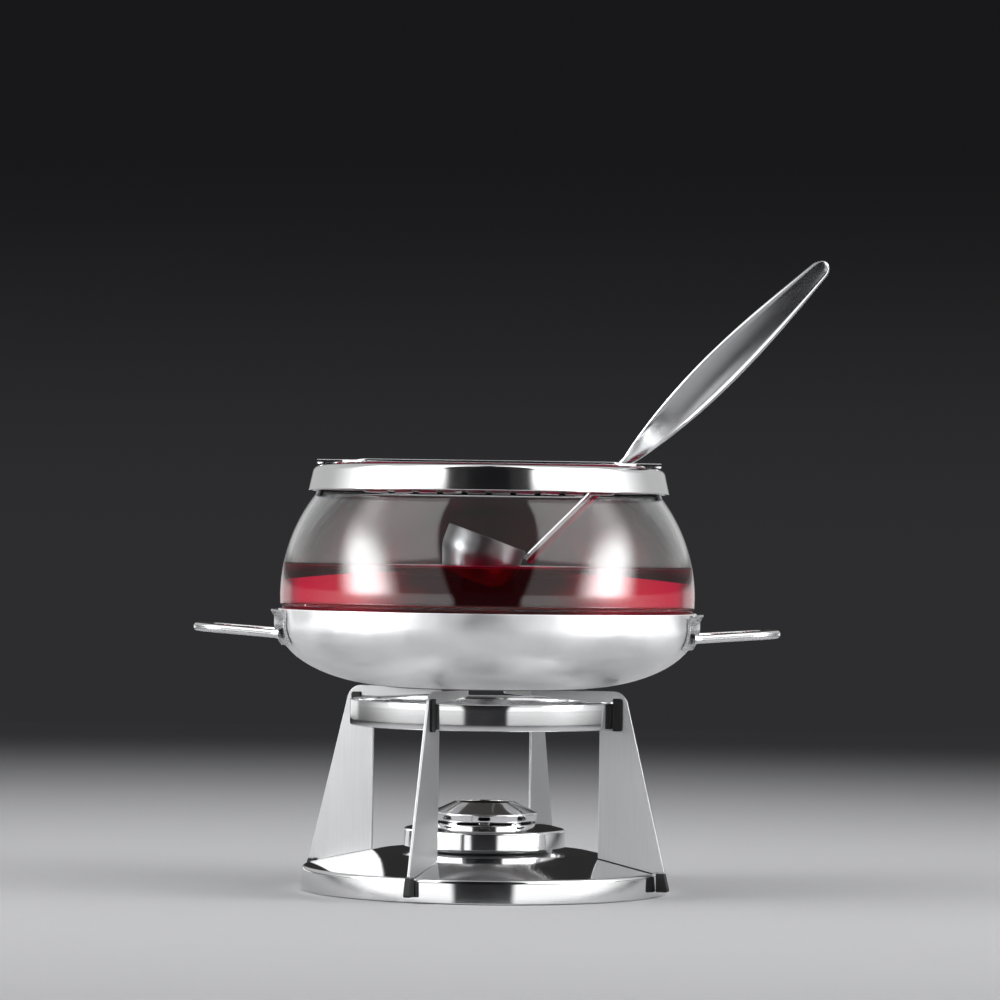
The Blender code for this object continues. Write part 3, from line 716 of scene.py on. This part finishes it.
def build_regulator():
    radius, low, mouth_z = round_box("burner_regulator")
    collar = rounded([(radius, low, 0), (radius, REGULATOR_SHOULDER_Z, 0.0012), (FLAME_MOUTH_R, mouth_z, 0)])
    collar = turned("burner_regulator_fine", sheet_outline(collar, BURNER_SHEET), BURNER_STEEL,
                    SMALL_ROUND_STEPS)
    cut_slots(collar, stadium(*WINDOW_SIZE), WINDOW_CUTS[1], window_places(radius))
    show(collar, "regulator", "burner_regulator")


def build_wool():
    """Fibre pad with an uneven, felted top."""
    radius, low, high = round_box("burner_wool")
    top = [Vector((radius * part, high)) for part in spread(1, 0, 26)]
    outline = rounded([(0, low, 0), (radius, low, 0.002), (radius, high - 0.0005, 0)], steps=3) + top
    pad = turned("burner_wool_fine", outline, WOOL, SMALL_ROUND_STEPS)
    draw = random.Random(7)
    for vertex in pad.data.vertices:
        if vertex.co.z > high - 0.0001:
            vertex.co.z -= draw.random() * WOOL_ROUGH
    show(pad, "burner", "burner_wool")


def woven_wire(shape, start, end, across, phase, level):
    """One wire of the weave from start to end, waving over and under the wires that it crosses."""
    length = (end - start).length
    steps = max(4, round(length / WIRE_PITCH * 3))
    along = (end - start).normalized()
    sections = []
    for step in range(steps + 1):
        middle = start.lerp(end, step / steps)
        travel = middle.dot(along)
        middle.z = level + WIRE_R * 0.95 * math.sin(math.pi * travel / WIRE_PITCH + phase)
        sections.append([shape.verts.new(middle + across * WIRE_R * math.cos(turn)
                                         + Vector((0, 0, 1)) * WIRE_R * math.sin(turn))
                         for turn in (0.785, 2.356, 3.927, 5.498)])
    for near, far in zip(sections, sections[1:]):
        for index in range(4):
            after = (index + 1) % 4
            shape.faces.new((near[index], near[after], far[after], far[index]))
    shape.faces.new(reversed(sections[0]))
    shape.faces.new(sections[-1])


def build_gauze():
    """Round woven gauze with a pressed edge band."""
    radius, low, high = round_box("burner_gauze")
    level = (low + high) / 2
    shape = bmesh.new()
    count = int((radius - 0.002) / WIRE_PITCH)
    for index in range(-count, count + 1):
        offset = index * WIRE_PITCH
        reach = math.sqrt((radius - 0.001) ** 2 - offset ** 2)
        phase = math.pi * (index % 2)
        woven_wire(shape, Vector((-reach, offset, 0)), Vector((reach, offset, 0)), Vector((0, 1, 0)),
                   phase, level)
        woven_wire(shape, Vector((offset, -reach, 0)), Vector((offset, reach, 0)), Vector((1, 0, 0)),
                   phase + math.pi, level)
    bmesh.ops.recalc_face_normals(shape, faces=shape.faces)
    show(place("burner_gauze_weave", shape, WIRE_STEEL, sharp=80), "burner", "burner_gauze",
         slot="brushed_steel")
    width, half = GAUZE_EDGE
    edge = [(radius - width, level - half), (radius, level - half), (radius, level + half),
            (radius - width, level + half)]
    show(turned("burner_gauze_edge", edge, WIRE_STEEL, SMALL_ROUND_STEPS), "burner", slot="brushed_steel")


def build_lever():
    """Bent strip that turns the collar."""
    root_in = HIGH["burner_regulator"].x + GAP
    root_out = root_in + BURNER_SHEET
    low, high = LOW["regulator_lever"].z, HIGH["regulator_lever"].z
    outline = rounded([
        (root_in, low, 0.0012), (LEVER_TIP_R, low, 0), (LEVER_TIP_R, low + BURNER_SHEET, 0),
        (root_out, low + BURNER_SHEET, 0.0004), (root_out, high, 0), (root_in, high, 0)], closed=True)
    lever = plate("regulator_lever_fine", outline, LEVER_WIDTH, BRACKET_STEEL)
    lever.rotation_euler.z = math.radians(LEVER_ANGLE)
    bevel(lever, 0.00018)
    show(lever, "regulator", "regulator_lever")


# ---------------- pot

def bowl_wall(offset, low_z, steps):
    """Points up the bowl's elliptical wall from a height to its widest, moved out by an offset."""
    half_width = HIGH["pot_bowl"].x - BOWL_CENTRE_R
    start = math.acos(min(1, (BOWL_WIDEST_Z - low_z) / BOWL_DEPTH))
    return [Vector((BOWL_CENTRE_R + (half_width + offset) * math.sin(angle),
                    BOWL_WIDEST_Z - (BOWL_DEPTH + offset) * math.cos(angle)))
            for angle in spread(start, math.pi / 2, steps)]


def glass_arc(radius, low, high, steps=26):
    """Points up the glass wall's belly between two heights."""
    centre_r, centre_z = GLASS_CENTRE
    first = math.asin((low - centre_z) / radius)
    last = math.asin((high - centre_z) / radius)
    return [Vector((centre_r + radius * math.cos(angle), centre_z + radius * math.sin(angle)))
            for angle in spread(first, last, steps)]


def glass_path(low, high):
    """The glass wall's outside: straight foot in the seal, a soft shoulder, then the belly."""
    belly = glass_arc(GLASS_ARC_R, GLASS_SHOULDER_Z, high)
    shoulder = rounded([(GLASS_FOOT_R, low, 0), (GLASS_FOOT_R, GLASS_FOOT_TOP_Z, 0.003),
                        (*belly[0], 0.003), (*belly[2], 0)])
    return shoulder + belly[3:]


def build_bowl():
    """Bowl whose bottom is recessed for the heat-spreading disc."""
    bowl_r, foot_z, rim_z = round_box("pot_bowl")
    disc_r, recess_z = HIGH["pot_base_disc"].x, HIGH["pot_base_disc"].z + GAP
    bowl = [Vector((0, recess_z))] + [Vector((disc_r * part, recess_z)) for part in (0.35, 0.7, 0.99)]
    bowl += [Vector((disc_r + 0.0004, recess_z - 0.0002))] + bowl_wall(0, foot_z, 34)
    bowl += [Vector((bowl_r, rim_z))]
    show(turned("pot_bowl_fine", sheet_outline(bowl, BOWL_SHEET), BOWL_STEEL), "pot", "pot_bowl")


def build_glass():
    low, high = LOW["glass_wall"].z, HIGH["glass_wall"].z
    wall = sheet_outline(glass_path(low, high), GLASS_SHEET)
    show(turned("glass_wall_fine", wall, GLASS, 192), "pot", "glass_wall")


def build_gaskets():
    """Lower seal with the ledge that the glass stands on, and the seal on top of the glass."""
    outer, low, high = round_box("lower_gasket")
    inner, ledge_top = GLASS_FOOT_R + GAP, LOW["glass_wall"].z - GAP
    seal = rounded([
        (SEAL_LEDGE_R, low, 0.0008), (outer - 0.0007, low, 0.0003), (outer, low + 0.002, 0.0005),
        (outer, high, 0.0002), (inner, high, 0.0002), (inner, ledge_top, 0.0006),
        (SEAL_LEDGE_R, ledge_top, 0.0008)], closed=True, steps=4)
    show(turned("lower_gasket_fine", seal, SEAL), "pot", "lower_gasket")

    outer, low, high = round_box("upper_gasket")
    cap = rounded([(CAP_SEAL_R, low, 0.0004), (outer, low, 0.0004), (outer, high, 0.001),
                   (CAP_SEAL_R, high, 0.001)], closed=True, steps=4)
    show(turned("upper_gasket_fine", cap, SEAL), "pot", "upper_gasket")


def build_rim():
    skirt_r, skirt_z, top_z = round_box("rim_ring")
    rim = rounded([(skirt_r, skirt_z, 0), (RIM_TOP_R, top_z, RIM_SHOULDER), (MOUTH_R, top_z, 0.002),
                   (MOUTH_R, MOUTH_LIP_Z, 0)])
    show(turned("rim_ring_fine", sheet_outline(rim, RIM_SHEET), RIM_STEEL, 192), "pot", "rim_ring")


def build_punch():
    """The liquid, wetting the bowl and the glass, with a meniscus at its edge."""
    recess_z = HIGH["pot_base_disc"].z + GAP + BOWL_SHEET - WALL_BITE
    disc_r = HIGH["pot_base_disc"].x
    wall = bowl_wall(-BOWL_SHEET + WALL_BITE, LOW["pot_bowl"].z + BOWL_SHEET, 26)
    below_seal = [point for point in wall if point.y < LOW["lower_gasket"].z - 0.001]
    seal_skin = SEAL_LEDGE_R + WALL_BITE
    ledge = [Vector((seal_skin, LOW["lower_gasket"].z)), Vector((seal_skin, LOW["glass_wall"].z))]
    inner = GLASS_ARC_R - GLASS_SHEET + WALL_BITE
    foot_r = GLASS_FOOT_R - GLASS_SHEET + WALL_BITE
    side = [Vector((foot_r, LOW["glass_wall"].z + 0.0015)), Vector((foot_r, GLASS_FOOT_TOP_Z))]
    side += glass_arc(inner, GLASS_SHOULDER_Z, PUNCH_LEVEL_Z + MENISCUS.y, 14)
    edge_r = side[-1].x
    surface = [Vector((edge_r - MENISCUS.x * part, PUNCH_LEVEL_Z + MENISCUS.y * (1 - part) ** 2.2))
               for part in (0.15, 0.35, 0.6, 1.0)]
    middle = [Vector((edge_r * part, PUNCH_LEVEL_Z)) for part in (0.93, 0.8, 0.6, 0.4, 0.2, 0)]
    outline = [Vector((0, recess_z)), Vector((disc_r * 0.97, recess_z))]
    outline += below_seal + ledge + side + surface + middle
    liquid = turned("punch_liquid", outline, PUNCH, 192, sharp=60)
    show(liquid, "pot", slot="punch")


def bracket_outline():
    gap, skin_gap = BRACKET_GAP, BRACKET_GAP + BRACKET_SHEET
    bowl_r = HIGH["pot_bowl"].x
    low, high = BRACKET_LOW_Z, HIGH["handle_bracket_right"].z
    flare_r = HIGH["handle_bracket_right"].x
    outer = bowl_wall(skin_gap, low, 10) + [Vector((bowl_r + skin_gap, high - 0.0040))]
    flare = [Vector((flare_r, high - 0.001)), Vector((flare_r, high)), Vector((flare_r - 0.0014, high))]
    inner = bowl_wall(gap, low, 10) + [Vector((bowl_r + gap, high - 0.0015))]
    return outer + flare + inner[::-1]


def build_handle(side, angle):
    """Loop handle: rounded bar bent to a tapered U, flared where it is welded to its bracket."""
    sector = (angle - BRACKET_HALF_ANGLE, angle + BRACKET_HALF_ANGLE)
    bracket = turned(f"handle_bracket_{side}_fine", bracket_outline(), BRACKET_STEEL, 22, sector)
    bevel(bracket, 0.0004)
    show(bracket, "pot", f"handle_bracket_{side}")

    reach = HIGH["handle_right"].x - HANDLE_HALF[0]
    root, outermost = HANDLE_HALF_SPAN
    root_x = math.sqrt((HIGH["pot_bowl"].x + HANDLE_SINK) ** 2 - root ** 2)
    path = rounded([(root_x, -root, 0), (reach, -outermost, HANDLE_FILLET),
                    (reach, outermost, HANDLE_FILLET), (root_x, root, 0)], steps=14)
    path = divided(path, 0.003)
    half_width, half_height = HANDLE_HALF
    bar = rounded([(-half_width, -half_height, HANDLE_EDGE), (half_width, -half_height, HANDLE_EDGE),
                   (half_width, half_height, HANDLE_EDGE), (-half_width, half_height, HANDLE_EDGE)],
                  closed=True, steps=5)
    sections = []
    for index, point in enumerate(path):
        before, after = path[max(index - 1, 0)], path[min(index + 1, len(path) - 1)]
        along = (after - before).normalized()
        outward = Vector((along.y, -along.x))
        rise = max(0, point.x - HIGH["pot_bowl"].x) / (reach - HIGH["pot_bowl"].x)
        level = HANDLE_LEVELS[0] + (HANDLE_LEVELS[1] - HANDLE_LEVELS[0]) * rise
        flare = 1 + HANDLE_FLARE * max(0, 1 - (point.x - root_x) / HANDLE_FLARE_LENGTH) ** 2
        sections.append([(point.x + outward.x * x * flare, point.y + outward.y * x * flare,
                          level + z * flare) for x, z in bar])
    handle = skin(f"handle_{side}_fine", sections, HANDLE_STEEL)
    handle.rotation_euler.z = math.radians(angle)
    show(handle, "pot", f"handle_{side}")


# ---------------- sugar tongs

def trough_section(x, steps):
    taper = min(max((abs(x) - TROUGH_HALF_LENGTH) / (TAB_START_X - TROUGH_HALF_LENGTH), 0), 1)
    blend = taper * taper * (3 - 2 * taper)
    half_width = TROUGH_HALF_WIDTH + (TAB_HALF_WIDTH - TROUGH_HALF_WIDTH) * blend
    edge = TROUGH_EDGE_Z + (TAB_Z - TROUGH_EDGE_Z) * blend
    depth = TROUGH_DEPTH * (1 - blend)
    return [(x, half_width * across, edge - depth * (1 - across * across))
            for across in spread(-1, 1, steps)]


def build_tongs():
    tip_x = HIGH["sugar_tongs"].x
    middle = spread(-TROUGH_HALF_LENGTH, TROUGH_HALF_LENGTH, 56)
    ramp = spread(TROUGH_HALF_LENGTH, TAB_START_X, 14)[1:] + spread(TAB_START_X, tip_x, 5)[1:]
    stations = [-x for x in reversed(ramp)] + middle + ramp
    trough = skin("sugar_tongs_fine", [trough_section(x, 28) for x in stations], TONGS_STEEL,
                  loop=False)
    solidify = trough.modifiers.new("sheet", "SOLIDIFY")
    solidify.thickness = TONGS_SHEET
    solidify.offset = -1
    solidify.use_even_offset = True
    baked(trough)
    first_x = -SLOT_PITCH * (SLOT_COUNT - 1) / 2
    floor_z = TROUGH_EDGE_Z - TROUGH_DEPTH
    places = [Matrix.Translation((first_x + SLOT_PITCH * index, 0, floor_z))
              @ Matrix.Rotation(math.pi / 2, 4, "X") for index in range(SLOT_COUNT)]
    cut_slots(trough, stadium(*SLOT_SIZE), SLOT_CUT, places)
    bevel(trough, 0.0002, angle=60)
    show(trough, "tongs", "sugar_tongs")
    for name, side in (("front", 0), ("back", -1)):
        build_bead(f"sugar_tongs_bead_{name}", [Vector(trough_section(x, 1)[side]) for x in stations])


def build_bead(name, edge):
    """Rolled edge along one long side of the tongs, which stays clear above the rim."""
    lowest = HIGH["rim_ring"].z + GAP + BEAD_R
    sections = []
    for index, point in enumerate(edge):
        along = (edge[min(index + 1, len(edge) - 1)] - edge[max(index - 1, 0)]).normalized()
        aside = along.cross(Vector((0, 0, 1))).normalized()
        above = aside.cross(along)
        centre = Vector((point.x, point.y, max(point.z - BEAD_R, lowest)))
        sections.append([centre + aside * BEAD_R * math.cos(turn) + above * BEAD_R * math.sin(turn)
                         for turn in spread(0, 2 * math.pi, 12)[:-1]])
    show(skin(name, sections, TONGS_STEEL), "tongs", slot="polished_steel")


# ---------------- ladle

def build_ladle():
    bottom = -LADLE_CUP_DEPTH
    cup = rounded([(0, bottom, 0), (0.017, bottom, 0.010), (LADLE_CUP_R, -0.012, 0.018),
                   (LADLE_CUP_R, 0, 0)], steps=14)
    # The cup takes the steel darkened as painted shade
    cup = turned("ladle_cup_fine", sheet_outline(cup, LADLE_SHEET), SHADED_CUP_STEEL, SMALL_ROUND_STEPS)
    cup.matrix_world = (Matrix.Translation(LADLE_CUP_CENTRE)
                        @ Matrix.Rotation(math.radians(LADLE_TILT), 4, "Y"))
    show(cup, "ladle", "ladle_cup")
    show(ladle_handle(), "ladle", "ladle_handle")


def blade_section(half_width, half_thick, hollow, bead, steps=48):
    """Section across the ladle's handle: bent oval with a raised bead along both edges."""
    points = []
    for angle in [2 * math.pi * step / steps for step in range(steps)]:
        side = math.cos(angle)
        lift = hollow * side * side
        if math.sin(angle) > 0:
            lift += bead * math.exp(-((abs(side) - LADLE_BEAD_PLACE[0]) / LADLE_BEAD_PLACE[1]) ** 2)
        points.append((half_width * side, half_thick * math.sin(angle) + lift))
    return points


def ladle_handle():
    """Oval stem that widens into a long hollow-faced blade and closes to a round tip."""
    along = (LADLE_TIP - LADLE_FOOT).normalized()
    length = (LADLE_TIP - LADLE_FOOT).length
    front = Vector((0, -1, 0))
    front = (front - along * front.dot(along)).normalized()
    across = along.cross(front)
    round_start = length - LADLE_TIP_ROUND
    ends = [round_start + LADLE_TIP_ROUND * math.sin(turn) for turn in spread(0, math.pi / 2, 10)]
    stations = spread(0, LADLE_STEM_LENGTH, 12)[:-1] + spread(LADLE_STEM_LENGTH, round_start, 60)
    stations += ends[1:-1] + [length - 0.00002]
    sections = []
    for distance in stations:
        grown = max(0, distance - LADLE_STEM_LENGTH) / (length - LADLE_STEM_LENGTH)
        swell = math.sin(math.pi * grown ** LADLE_BLADE_SKEW)
        closing = max(0, distance - round_start) / LADLE_TIP_ROUND
        shrink = math.sqrt(max(0, 1 - closing ** 2))
        straight = LADLE_STEM_HALF[0] + (LADLE_TIP_HALF - LADLE_STEM_HALF[0]) * grown
        ring = blade_section((straight + LADLE_BLADE_SWELL * swell) * shrink,
                             LADLE_STEM_HALF[1] * (1 - LADLE_BLADE_THINNING * swell) * shrink,
                             LADLE_BLADE_HOLLOW * swell, LADLE_BEAD * min(1, 3 * grown) * shrink)
        bow = LADLE_BOW * math.sin(math.pi * grown)
        sections.append([(distance, x, z + bow) for x, z in ring])
    handle = skin("ladle_handle_fine", sections, BLADE_STEEL)
    turn = Matrix((along, across, front)).transposed().to_4x4()
    handle.matrix_world = Matrix.Translation(LADLE_FOOT) @ turn
    return handle


# ---------------- studio

def direction_values(make):
    """Azimuth off the front and elevation, in degrees, of a point on the dome about the origin."""
    here = make.node("ShaderNodeTexCoord").outputs["Object"]
    split = make.node("ShaderNodeSeparateXYZ", {"Vector": here})
    aside = make.maths("ABSOLUTE", split.outputs["X"])
    ahead = make.maths("MULTIPLY", split.outputs["Y"], -1.0)
    azimuth = make.maths("ARCTAN2", aside, ahead)
    elevation = make.maths("ARCSINE", make.maths("DIVIDE", split.outputs["Z"], DOME_R))
    return [make.maths("DEGREES", angle) for angle in (azimuth, elevation)]


def step_between(make, value, start, end, low=0.0, high=1.0):
    """Smooth step from LOW to HIGH as the value goes from start to end."""
    return make.node("ShaderNodeMapRange", {
        "Value": value, "From Min": start, "From Max": end, "To Min": low, "To Max": high},
        interpolation_type="SMOOTHSTEP").outputs["Result"]


def product(make, *factors):
    result = factors[0]
    for factor in factors[1:]:
        result = make.maths("MULTIPLY", result, factor)
    return result


def tent_light():
    """Cloth of the light tent: lit from its foot and from above, with a hot spot on each side.

    It dims towards the back, but for a low strip there that shines through the punch.
    """
    make = Recipe("tent_light")
    azimuth, elevation = direction_values(make)
    opening = step_between(make, make.sum(azimuth, elevation, OPENING_LEAN), *OPENING_AZIMUTH)
    behind = make.maths("MAXIMUM", step_between(make, azimuth, *BACK_AZIMUTH),
                        step_between(make, elevation, *BACK_ELEVATION))
    foot = step_between(make, elevation, *FOOT_ELEVATION, high=FOOT_SHARE)
    upper = step_between(make, make.sum(elevation, azimuth, UPPER_FALL), *UPPER_ELEVATION)
    layers = make.maths("MAXIMUM", make.maths("MAXIMUM", foot, upper), DIM_SHARE)
    strip = product(make, step_between(make, azimuth, *STRIP_AZIMUTH, high=STRIP_SHARE),
                    step_between(make, elevation, *STRIP_ELEVATION))
    far_side = make.maths("MAXIMUM", step_between(make, azimuth, *FAR_AZIMUTH, low=FAR_SHARE), strip)
    cloth = product(make, opening, behind, layers, far_side, CLOTH_LIGHT)

    bend = make.sum(azimuth, product(make, elevation, elevation), SPOT_BEND)
    near, middle, far = SPOT_AZIMUTH
    across = product(make, step_between(make, bend, near, middle), step_between(make, bend, far, middle))
    height = product(make, step_between(make, elevation, *SPOT_BOTTOM),
                     step_between(make, elevation, *SPOT_TOP, low=SPOT_TAIL))
    spot = product(make, across, height, step_between(make, elevation, *SPOT_TAIL_TOP))
    strength = make.sum(make.sum(cloth, spot, SPOT_LIGHT), HORIZON[0])
    glow = make.node("ShaderNodeEmission", {"Color": (1, 1, 1, 1), "Strength": strength})
    make.tree.links.new(glow.outputs[0], make.tree.nodes["Material Output"].inputs["Surface"])
    return make.material


def build_tent():
    """Two curved sides of a light tent about the object, open towards the camera."""
    finish = tent_light()
    for side in (-1, 1):
        sections = []
        for turn in spread(*TENT_AZIMUTH, 56):
            azimuth = math.radians(turn)
            sections.append([
                (side * DOME_R * math.cos(math.radians(rise)) * math.sin(azimuth),
                 -DOME_R * math.cos(math.radians(rise)) * math.cos(azimuth),
                 DOME_R * math.sin(math.radians(rise))) for rise in spread(*TENT_ELEVATION, 30)])
        cloth = skin(f"tent_{side}", sections, finish, loop=False)
        cloth.visible_camera = False


def build_backdrop():
    world = bpy.data.worlds.new("studio_backdrop")
    bpy.context.scene.world = world
    world.use_nodes = True
    tree = world.node_tree
    where = tree.nodes.new("ShaderNodeTexCoord").outputs["Generated"]
    split = tree.nodes.new("ShaderNodeSeparateXYZ")
    lift = tree.nodes.new("ShaderNodeMapRange")
    ramp = tree.nodes.new("ShaderNodeValToRGB")
    tree.links.new(where, split.inputs[0])
    tree.links.new(split.outputs["Z"], lift.inputs["Value"])
    lift.inputs["From Max"].default_value = ZENITH_RISE
    tree.links.new(lift.outputs["Result"], ramp.inputs["Fac"])
    ramp.color_ramp.interpolation = "EASE"
    ramp.color_ramp.elements[0].color = (*HORIZON, 1)
    ramp.color_ramp.elements[1].color = (*ZENITH, 1)
    tree.links.new(ramp.outputs["Color"], tree.nodes["Background"].inputs["Color"])


def build_studio():
    floor = bmesh.new()
    bmesh.ops.create_circle(floor, cap_ends=True, segments=128, radius=FLOOR_R)
    place("studio_floor", floor, pale_floor())
    build_tent()
    build_backdrop()


def build_camera():
    data = bpy.data.cameras.new("camera")
    data.lens = VIEW_LENS
    data.sensor_width = 36
    data.clip_end = 30
    camera = bpy.data.objects.new("camera", data)
    pitch = math.degrees(math.atan2(VIEW_AIM.z - VIEW_HEIGHT, VIEW_DISTANCE))
    camera.location = (VIEW_AIM.x, -VIEW_DISTANCE, VIEW_HEIGHT)
    camera.rotation_euler = [math.radians(turn) for turn in (90 + pitch, VIEW_ROLL, 0)]
    bpy.context.scene.collection.objects.link(camera)
    bpy.context.scene.camera = camera
    bpy.context.scene.view_settings.view_transform = "Standard"


build_tray()
build_disc("base_plate", PLATE_FILLET, DISC_STEEL, "stand")
build_support_ring()
for leg_side, leg_angle in LEG_ANGLES.items():
    build_leg(leg_side, leg_angle)

build_cup()
build_wool()
build_gauze()
build_cover()
build_regulator()
build_lever()

build_bowl()
# The pot's base disc takes the steel darkened as painted shade
build_disc("pot_base_disc", DISC_FILLET, SHADED_BASE_DISC_STEEL, "pot")
build_glass()
build_gaskets()
build_rim()
build_punch()
build_handle("right", 0)
build_handle("left", 180)
build_tongs()
build_ladle()
build_studio()
build_camera()
